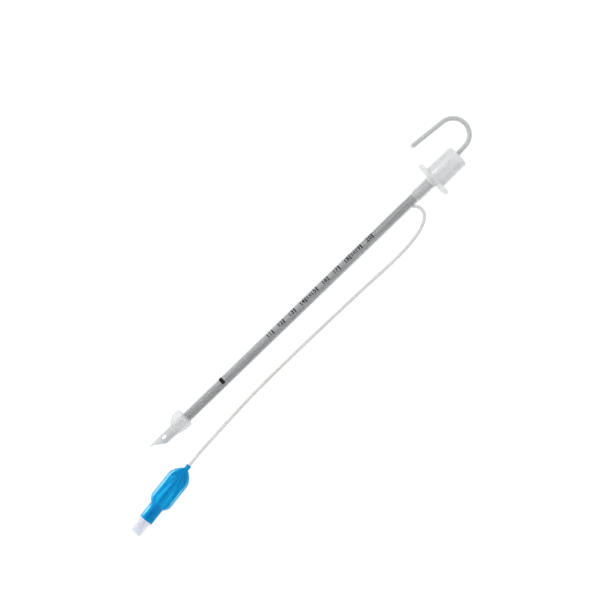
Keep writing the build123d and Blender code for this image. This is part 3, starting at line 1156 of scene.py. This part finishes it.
# %% Valve body
RING_RADIUS = 4.9
LUER_START = 46.4
LUER_END = 56.2
LUER_RADIUS = 3.7
LUER_MOUTH_RADIUS = 2.135
LUER_THROAT_RADIUS = 1.913
SEAT_OUTER_FACE = 48.8
SEAT_INNER_FACE = 45.4
SEAT_BORE_RADIUS = 1.2
CHAMBER_START = 36.0
CHAMBER_RADIUS = 2.6
VENT_RADIUS = 0.8
GRIP_RADIUS = 3.95

valve_bm = spun(
    [(COLLAR_START, VENT_RADIUS), (COLLAR_START, GRIP_RADIUS - EDGE)]
    + [(COLLAR_START + EDGE, GRIP_RADIUS)]
    + [(COLLAR_END + 0.02, GRIP_RADIUS), (COLLAR_END + 0.02, RING_RADIUS - EDGE)]
    + [(COLLAR_END + EDGE, RING_RADIUS)]
    + quarter_round(LUER_START, RING_RADIUS, 0.3, 3)
    + [(LUER_START, LUER_RADIUS + 0.3), (LUER_START + 0.3, LUER_RADIUS)]
    + quarter_round(LUER_END, LUER_RADIUS, 0.25, 3)
    + [(LUER_END, LUER_MOUTH_RADIUS + 0.15), (LUER_END - 0.15, LUER_MOUTH_RADIUS)]
    + [(SEAT_OUTER_FACE, LUER_THROAT_RADIUS), (SEAT_OUTER_FACE, SEAT_BORE_RADIUS)]
    + [(SEAT_INNER_FACE, SEAT_BORE_RADIUS), (SEAT_INNER_FACE, CHAMBER_RADIUS)]
    + [(CHAMBER_START, CHAMBER_RADIUS), (CHAMBER_START, VENT_RADIUS)],
    steps=72,
)
valve_body = make_piece(
    "valve_body_clear",
    valve_bm,
    PILOT_PLACE,
    VALVE_PLASTIC,
    "tube",
    ["valve_housing"],
    30,
)

# %% [markdown]
# ### Lugs
#
# A locking syringe turns on to two small lugs at the mouth of the port. Each is a block with
# softened long edges, sunk a little into the port so that the two join into one solid.

# %% Lugs that a locking syringe turns on to
LUG_SPAN = 9.0
LUG_LENGTH = 1.4
LUG_WIDTH = 2.4
LUG_SUNK = 0.6

lugs = bmesh.new()
for side in (1, -1):
    middle = (LUG_SPAN / 2 + LUER_RADIUS - LUG_SUNK) / 2
    size = (LUG_LENGTH, LUG_WIDTH, LUG_SPAN / 2 - LUER_RADIUS + LUG_SUNK)
    spot = Matrix.Translation((LUER_END - LUG_LENGTH / 2 - 0.05, 0, side * middle))
    bmesh.ops.create_cube(lugs, size=1.0, matrix=spot @ Matrix.Diagonal((*size, 1)))
lug_edges = [e for e in lugs.edges if abs(e.verts[0].co.x - e.verts[1].co.x) < 0.01]
bmesh.ops.bevel(
    lugs, geom=lug_edges, offset=0.2, segments=2, profile=0.5, affect="EDGES", material=-1
)
combine(valve_body, mesh_object("lugs", lugs, PILOT_PLACE), "UNION")
smoothed(valve_body, 30)

# %% [markdown]
# ### Plunger and disc
#
# Both are turned round the valve's axis, so they are spun like the tube. The plunger ends in a
# small head that the syringe tip meets, and the rubber disc sits on its stem behind the seat.

# %% Plunger and disc
STEM_RADIUS = 0.9
HEAD_RADIUS = 1.3
STEM_TAIL = 39.1
HEAD_START = 51.6
HEAD_END = 52.8
DISC_RADIUS = 2.2
DISC_START = 44.3
DISC_END = 45.1
DISC_GAP = 0.05

stem = spun(
    [(STEM_TAIL, 0), (STEM_TAIL, STEM_RADIUS - 0.15), (STEM_TAIL + 0.15, STEM_RADIUS)]
    + [(HEAD_START, STEM_RADIUS), (HEAD_START, HEAD_RADIUS - 0.1), (HEAD_START + 0.1, HEAD_RADIUS)]
    + quarter_round(HEAD_END, HEAD_RADIUS, 0.3, 3)
    + [(HEAD_END, 0)],
    steps=40,
)
plunger = make_piece(
    "plunger", stem, PILOT_PLACE, PLUNGER_WHITE, "plunger", ["valve_stem"]
)
disc = spun(
    [(DISC_START, STEM_RADIUS + DISC_GAP), (DISC_START, DISC_RADIUS - 0.15)]
    + [(DISC_START + 0.15, DISC_RADIUS)]
    + quarter_round(DISC_END, DISC_RADIUS, 0.2, 3)
    + [(DISC_END, STEM_RADIUS + DISC_GAP)],
    steps=40,
)
seal = make_piece(
    "sealing_disc", disc, PILOT_PLACE, SEAL_RUBBER, "plunger", ["valve_seal"]
)

# %% [markdown]
# ### Spring
#
# The spring stands on the valve body and carries the disc.

# %% Spring
SPRING_RADIUS = 1.625
SPRING_WIRE_RADIUS = 0.175
SPRING_TURNS = 4
SPRING_START = 36.23
SPRING_END = 44.07
SPRING_STEPS = 24

spring_bm = wound(
    SPRING_START,
    SPRING_RADIUS,
    SPRING_WIRE_RADIUS,
    (SPRING_END - SPRING_START) / SPRING_TURNS,
    SPRING_TURNS,
    SPRING_STEPS,
    segments=10,
)
bmesh.ops.holes_fill(spring_bm, edges=[e for e in spring_bm.edges if e.is_boundary], sides=0)
bmesh.ops.recalc_face_normals(spring_bm, faces=spring_bm.faces)
spring = make_piece(
    "valve_coil", spring_bm, PILOT_PLACE, SPRING_STEEL, None, ["valve_spring"], 80
)

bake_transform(spring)


# %% [markdown]
# ## Print
#
# The depth scale is printed in black on the tube: a bold guide band near the cuff, and plain
# centimetre numbers with a tick each, counted from the tip. Flat text is made a mesh and then
# wrapped round the wall, a hair above it, with a thickness so that it is a closed shape.

# %% Print
PRINT_RADIUS = TUBE_RADIUS + 0.012
PRINT_THICKNESS = 0.02
WRAP_STEP = 0.17
PRINT_ANGLE = 27.0
FIRST_MARK = 11
LAST_MARK = 20
DIGIT_HEIGHT = 3.0
TICK_WIDTH = 0.8
TICK_HEIGHT = 3.8
BAND_START = 62.8
BAND_END = 65.2
BAND_ANGLES = (-16.0, 78.0)
WRAP_CUTS = 30
NUMBER_GAP = 0.9
DIGIT_SHARE = 0.7
DIGIT_WEIGHT = 0.025
SIZE_MARKS = (144.9, 184.9)
SIZE_MARK_SHARE = 0.75


def wrapped(bm, centre_angle):
    """Wraps flat marks (x along the tube, y across) round the wall."""
    for i in range(-WRAP_CUTS, WRAP_CUTS + 1):
        bmesh.ops.bisect_plane(
            bm,
            geom=bm.verts[:] + bm.edges[:] + bm.faces[:],
            plane_co=(0, i * WRAP_STEP, 0),
            plane_no=(0, 1, 0),
        )
    for vert in bm.verts:
        angle = math.radians(centre_angle) + vert.co.y / PRINT_RADIUS
        across, up = PRINT_RADIUS * math.sin(angle), PRINT_RADIUS * math.cos(angle)
        vert.co = Vector((vert.co.x, across, up))
    bmesh.ops.recalc_face_normals(bm, faces=bm.faces)
    return bm


def flat_text(text, x, height):
    """A number as a flat mesh whose right edge is at x and whose middle is at y = 0."""
    font = bpy.data.curves.new("number", "FONT")
    font.body = text
    font.size = height / DIGIT_SHARE
    font.align_x = "RIGHT"
    font.align_y = "CENTER"
    font.resolution_u = 3
    font.offset = DIGIT_WEIGHT * height
    holder = bpy.data.objects.new("number", font)
    bpy.context.scene.collection.objects.link(holder)
    bpy.context.view_layer.update()
    depsgraph = bpy.context.evaluated_depsgraph_get()
    mesh = bpy.data.meshes.new_from_object(holder.evaluated_get(depsgraph))
    mesh.transform(Matrix.Translation((x, 0, 0)))
    bpy.data.objects.remove(holder)
    return mesh


def flat_bar(bm, x0, x1, y0, y1):
    """Adds a flat rectangle to a bmesh."""
    middle = Matrix.Translation(((x0 + x1) / 2, (y0 + y1) / 2, 0))
    place = middle @ Matrix.Diagonal((x1 - x0, y1 - y0, 1, 1))
    bmesh.ops.create_grid(bm, x_segments=1, y_segments=1, size=0.5, matrix=place)


marks = bmesh.new()
for number in range(FIRST_MARK, LAST_MARK + 1):
    tick = number * 10.0
    edges = (tick - TICK_WIDTH / 2, tick + TICK_WIDTH / 2)
    flat_bar(marks, *edges, -TICK_HEIGHT / 2, TICK_HEIGHT / 2)
    marks.from_mesh(flat_text(str(number), tick - NUMBER_GAP, DIGIT_HEIGHT))
for size_mark in SIZE_MARKS:
    marks.from_mesh(flat_text("5.0", size_mark, DIGIT_HEIGHT * SIZE_MARK_SHARE))
wrapped(marks, PRINT_ANGLE)

band = bmesh.new()
half = math.radians(BAND_ANGLES[1] - BAND_ANGLES[0]) / 2 * PRINT_RADIUS
flat_bar(band, BAND_START, BAND_END, -half, half)
wrapped(band, sum(BAND_ANGLES) / 2)

for name, bm in (("depth_marks", marks), ("guide_band", band)):
    printed = make_piece(name, bm, TUBE_PLACE, PRINT_INK, "tube")
    ink = printed.modifiers.new("ink", "SOLIDIFY")
    ink.thickness = PRINT_THICKNESS * MM
    ink.offset = 1.0
    applied(printed)


# %% [markdown]
# ## Table and light
#
# Clear parts are best seen on a pale board that is softly lit from below: the light passes up
# through the vinyl, and shadows all but vanish. The sky dims towards the horizon, so that every
# round part keeps a darker rim.

# %% Floor
FLOOR_SIZE = 12.0
floor_bm = bmesh.new()
bmesh.ops.create_grid(floor_bm, x_segments=1, y_segments=1, size=FLOOR_SIZE / 2)
floor = mesh_object("floor", floor_bm)
board, board_tree, board_shader = finish_material(
    "pale_lit_board",
    {"Roughness": 0.9, "Emission Color": colour("#ffffff"), "Emission Strength": 0.8},
)
board_grain = object_noise(board_tree, 2.0)
shade_by(board_tree, board_shader, board_grain.outputs["Fac"], "#848484", "#8c8c8c")
floor.data.materials.append(board)

# %% [markdown]
# ### Sky and key light
#
# A real studio would hang white cloth round the table. Here a ramp over the height of the view
# direction does that: grey near the horizon, white above it, and a grey patch right overhead, so
# that flat tops don't glare. One soft square light from the far side adds a long highlight.

# %% Sky and key light
world = bpy.data.worlds.new("studio")
bpy.context.scene.world = world
world.use_nodes = True
sky = world.node_tree
sky.nodes.clear()
direction = add_node(sky, "ShaderNodeTexCoord")
split = add_node(sky, "ShaderNodeSeparateXYZ", links={"Vector": direction.outputs["Generated"]})
fade = add_node(sky, "ShaderNodeValToRGB", links={"Fac": split.outputs["Z"]})
fade.color_ramp.elements[0].position = 0.0
fade.color_ramp.elements[0].color = colour("#8c8e90")
fade.color_ramp.elements[1].position = 0.6
fade.color_ramp.elements[1].color = colour("#ffffff")
add_stops(fade.color_ramp, ((0.93, "#ffffff"), (1.0, "#8a8a8a")))
backdrop = add_node(
    sky,
    "ShaderNodeBackground",
    values={"Strength": 1.12},
    links={"Color": fade.outputs["Color"]},
)
add_node(sky, "ShaderNodeOutputWorld", links={"Surface": backdrop.outputs["Background"]})


def soft_light(name, place, size, watts):
    """A square area light that points at the middle of the object."""
    data = bpy.data.lights.new(name, "AREA")
    data.shape = "SQUARE"
    data.size = size
    data.energy = watts
    lamp = bpy.data.objects.new(name, data)
    bpy.context.scene.collection.objects.link(lamp)
    lamp.location = place
    lamp.rotation_euler = (-Vector(place)).to_track_quat("-Z", "Y").to_euler()
    print(name, "light of", watts, "W at", place)


soft_light("key", (-0.1, 0.9, 0.75), 0.6, 4.5)
bpy.context.scene.view_settings.view_transform = "Standard"
